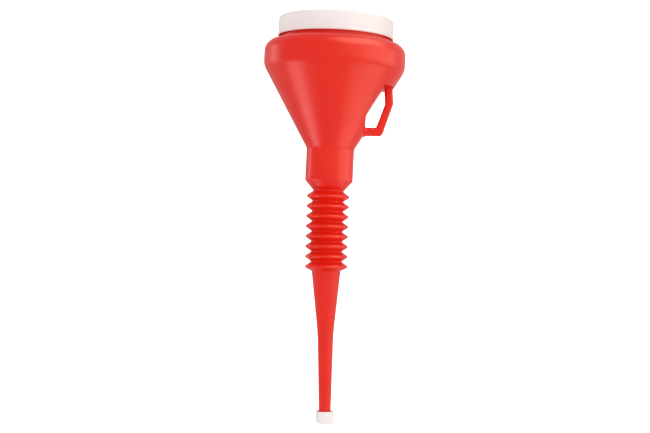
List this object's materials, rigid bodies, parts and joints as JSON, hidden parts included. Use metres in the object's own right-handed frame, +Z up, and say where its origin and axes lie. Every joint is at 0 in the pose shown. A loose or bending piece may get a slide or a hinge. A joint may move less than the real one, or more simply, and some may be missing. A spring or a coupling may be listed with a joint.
{
  "type": "flexible spout funnel",
  "caption": "Closable plastic funnel: wide-mouthed bowl with a screw lid and finger handle, bellows neck that bends any way, long tapered spout with a screw tip cap.",
  "frame": {"origin": "on the bowl's axis, where the cone meets the cylindrical neck: the level at which a filler or holder ring carries it", "axes": "+Z up along the bowl's axis towards the lid, +X towards the handle"},
  "size_m": [0.165, 0.165, 0.4712],
  "materials": {
    "red_plastic": "satin blow-moulded polyethylene, red, with a soft sheen",
    "white_plastic": "satin injection-moulded polyethylene, white",
    "seal_foam": "closed-cell foam liner"
  },
  "bodies": {
    "bowl_body": {"bowl": "red_plastic", "handle": "red_plastic"},
    "lid_rise": {"lid_seal": "seal_foam"},
    "lid_body": {"lid": "white_plastic"},
    "fold_1_upper_body": {"fold_1_upper": "red_plastic"},
    "fold_1_lower_body": {"fold_1_lower": "red_plastic"},
    "fold_2_upper_body": {"fold_2_upper": "red_plastic"},
    "fold_2_lower_body": {"fold_2_lower": "red_plastic"},
    "fold_3_upper_body": {"fold_3_upper": "red_plastic"},
    "fold_3_lower_body": {"fold_3_lower": "red_plastic"},
    "fold_4_upper_body": {"fold_4_upper": "red_plastic"},
    "fold_4_lower_body": {"fold_4_lower": "red_plastic"},
    "fold_5_upper_body": {"fold_5_upper": "red_plastic"},
    "fold_5_lower_body": {"fold_5_lower": "red_plastic"},
    "fold_6_upper_body": {"fold_6_upper": "red_plastic"},
    "fold_6_lower_body": {"fold_6_lower": "red_plastic"},
    "fold_7_upper_body": {"fold_7_upper": "red_plastic"},
    "fold_7_lower_body": {"fold_7_lower": "red_plastic"},
    "fold_8_upper_body": {"fold_8_upper": "red_plastic"},
    "fold_8_lower_body": {"fold_8_lower": "red_plastic"},
    "spout_body": {"spout": "red_plastic"},
    "tip_cap_slide": {"tip_seal": "seal_foam"},
    "tip_cap_body": {"tip_cap": "white_plastic"}
  },
  "joints": [
    {"name": "lid_lift", "type": "slide", "parent": "bowl_body", "child": "lid_rise", "axis": [0, 0, 1], "range_m": [0, 0.025]},
    {"name": "lid_turn", "type": "hinge", "parent": "lid_rise", "child": "lid_body", "pos_m": [0, 0, 0.14], "axis": [0, 0, 1], "range_deg": [0, 1800]},
    {"name": "spout_bend_side_1", "type": "hinge", "parent": "bowl_body", "child": "fold_1_upper_body", "pos_m": [0, 0, -0.049], "axis": [0.001, 1, 0], "range_deg": [-9, 9], "stiffness_Nm_per_rad": 4, "deforming": ["fold_1_upper"]},
    {"name": "spout_bend_front_1", "type": "hinge", "parent": "fold_1_upper_body", "child": "fold_1_lower_body", "pos_m": [0.00003, 0, -0.0556], "axis": [1, 0, 0.0043], "range_deg": [-10, 10], "stiffness_Nm_per_rad": 4, "deforming": ["fold_1_lower"]},
    {"name": "spout_bend_side_2", "type": "hinge", "parent": "fold_1_lower_body", "child": "fold_2_upper_body", "pos_m": [0.00005, 0, -0.06143], "axis": [0.001, 1, 0], "range_deg": [-9, 9], "stiffness_Nm_per_rad": 4, "deforming": ["fold_2_upper"]},
    {"name": "spout_bend_front_2", "type": "hinge", "parent": "fold_2_upper_body", "child": "fold_2_lower_body", "pos_m": [0.0001, 0, -0.06726], "axis": [1, 0, 0.0085], "range_deg": [-10, 10], "stiffness_Nm_per_rad": 4, "deforming": ["fold_2_lower"]},
    {"name": "spout_bend_side_3", "type": "hinge", "parent": "fold_2_lower_body", "child": "fold_3_upper_body", "pos_m": [0.00015, 0, -0.07309], "axis": [0.001, 1, 0], "range_deg": [-9, 9], "stiffness_Nm_per_rad": 4, "deforming": ["fold_3_upper"]},
    {"name": "spout_bend_front_3", "type": "hinge", "parent": "fold_3_upper_body", "child": "fold_3_lower_body", "pos_m": [0.00023, 0, -0.07892], "axis": [0.9999, 0, 0.0128], "range_deg": [-10, 10], "stiffness_Nm_per_rad": 4, "deforming": ["fold_3_lower"]},
    {"name": "spout_bend_side_4", "type": "hinge", "parent": "fold_3_lower_body", "child": "fold_4_upper_body", "pos_m": [0.0003, 0, -0.08475], "axis": [0.001, 1, 0], "range_deg": [-9, 9], "stiffness_Nm_per_rad": 4, "deforming": ["fold_4_upper"]},
    {"name": "spout_bend_front_4", "type": "hinge", "parent": "fold_4_upper_body", "child": "fold_4_lower_body", "pos_m": [0.0004, 0, -0.09058], "axis": [0.9999, 0, 0.0171], "range_deg": [-10, 10], "stiffness_Nm_per_rad": 4, "deforming": ["fold_4_lower"]},
    {"name": "spout_bend_side_5", "type": "hinge", "parent": "fold_4_lower_body", "child": "fold_5_upper_body", "pos_m": [0.0005, 0, -0.09641], "axis": [0.001, 1, 0], "range_deg": [-9, 9], "stiffness_Nm_per_rad": 4, "deforming": ["fold_5_upper"]},
    {"name": "spout_bend_front_5", "type": "hinge", "parent": "fold_5_upper_body", "child": "fold_5_lower_body", "pos_m": [0.00063, 0, -0.10224], "axis": [0.9998, 0, 0.0213], "range_deg": [-10, 10], "stiffness_Nm_per_rad": 4, "deforming": ["fold_5_lower"]},
    {"name": "spout_bend_side_6", "type": "hinge", "parent": "fold_5_lower_body", "child": "fold_6_upper_body", "pos_m": [0.00075, 0, -0.10806], "axis": [0.001, 1, 0], "range_deg": [-9, 9], "stiffness_Nm_per_rad": 4, "deforming": ["fold_6_upper"]},
    {"name": "spout_bend_front_6", "type": "hinge", "parent": "fold_6_upper_body", "child": "fold_6_lower_body", "pos_m": [0.0009, 0, -0.11389], "axis": [0.9997, 0, 0.0256], "range_deg": [-10, 10], "stiffness_Nm_per_rad": 4, "deforming": ["fold_6_lower"]},
    {"name": "spout_bend_side_7", "type": "hinge", "parent": "fold_6_lower_body", "child": "fold_7_upper_body", "pos_m": [0.00105, 0, -0.11972], "axis": [0.001, 1, 0], "range_deg": [-9, 9], "stiffness_Nm_per_rad": 4, "deforming": ["fold_7_upper"]},
    {"name": "spout_bend_front_7", "type": "hinge", "parent": "fold_7_upper_body", "child": "fold_7_lower_body", "pos_m": [0.00122, 0, -0.12555], "axis": [0.9996, 0, 0.0299], "range_deg": [-10, 10], "stiffness_Nm_per_rad": 4, "deforming": ["fold_7_lower"]},
    {"name": "spout_bend_side_8", "type": "hinge", "parent": "fold_7_lower_body", "child": "fold_8_upper_body", "pos_m": [0.0014, 0, -0.13137], "axis": [0.001, 1, 0], "range_deg": [-9, 9], "stiffness_Nm_per_rad": 4, "deforming": ["fold_8_upper"]},
    {"name": "spout_bend_front_8", "type": "hinge", "parent": "fold_8_upper_body", "child": "fold_8_lower_body", "pos_m": [0.0016, 0, -0.1372], "axis": [0.9994, 0, 0.0341], "range_deg": [-10, 10], "stiffness_Nm_per_rad": 4, "deforming": ["fold_8_lower"]},
    {"name": "spout_bend_side_9", "type": "hinge", "parent": "fold_8_lower_body", "child": "spout_body", "pos_m": [0.00179, 0, -0.14303], "axis": [0.001, 1, 0], "range_deg": [-9, 9], "stiffness_Nm_per_rad": 4},
    {"name": "tip_cap_off", "type": "slide", "parent": "spout_body", "child": "tip_cap_slide", "axis": [0.0384, 0, -0.9993], "range_m": [0, 0.015]},
    {"name": "tip_cap_turn", "type": "hinge", "parent": "tip_cap_slide", "child": "tip_cap_body", "pos_m": [0.00824, 0, -0.3109], "axis": [0.0384, 0, -0.9993], "range_deg": [0, 1800]}
  ],
  "couplings": [
    {"joint": "lid_lift", "follows": "lid_turn", "m_per_rad": 0.00079577},
    {"joint": "spout_bend_side_2", "follows": "spout_bend_side_1", "ratio": 1},
    {"joint": "spout_bend_front_2", "follows": "spout_bend_front_1", "ratio": 1},
    {"joint": "spout_bend_side_3", "follows": "spout_bend_side_1", "ratio": 1},
    {"joint": "spout_bend_front_3", "follows": "spout_bend_front_1", "ratio": 1},
    {"joint": "spout_bend_side_4", "follows": "spout_bend_side_1", "ratio": 1},
    {"joint": "spout_bend_front_4", "follows": "spout_bend_front_1", "ratio": 1},
    {"joint": "spout_bend_side_5", "follows": "spout_bend_side_1", "ratio": 1},
    {"joint": "spout_bend_front_5", "follows": "spout_bend_front_1", "ratio": 1},
    {"joint": "spout_bend_side_6", "follows": "spout_bend_side_1", "ratio": 1},
    {"joint": "spout_bend_front_6", "follows": "spout_bend_front_1", "ratio": 1},
    {"joint": "spout_bend_side_7", "follows": "spout_bend_side_1", "ratio": 1},
    {"joint": "spout_bend_front_7", "follows": "spout_bend_front_1", "ratio": 1},
    {"joint": "spout_bend_side_8", "follows": "spout_bend_side_1", "ratio": 1},
    {"joint": "spout_bend_front_8", "follows": "spout_bend_front_1", "ratio": 1},
    {"joint": "spout_bend_side_9", "follows": "spout_bend_side_1", "ratio": 1},
    {"joint": "tip_cap_off", "follows": "tip_cap_turn", "m_per_rad": 0.00047746}
  ]
}
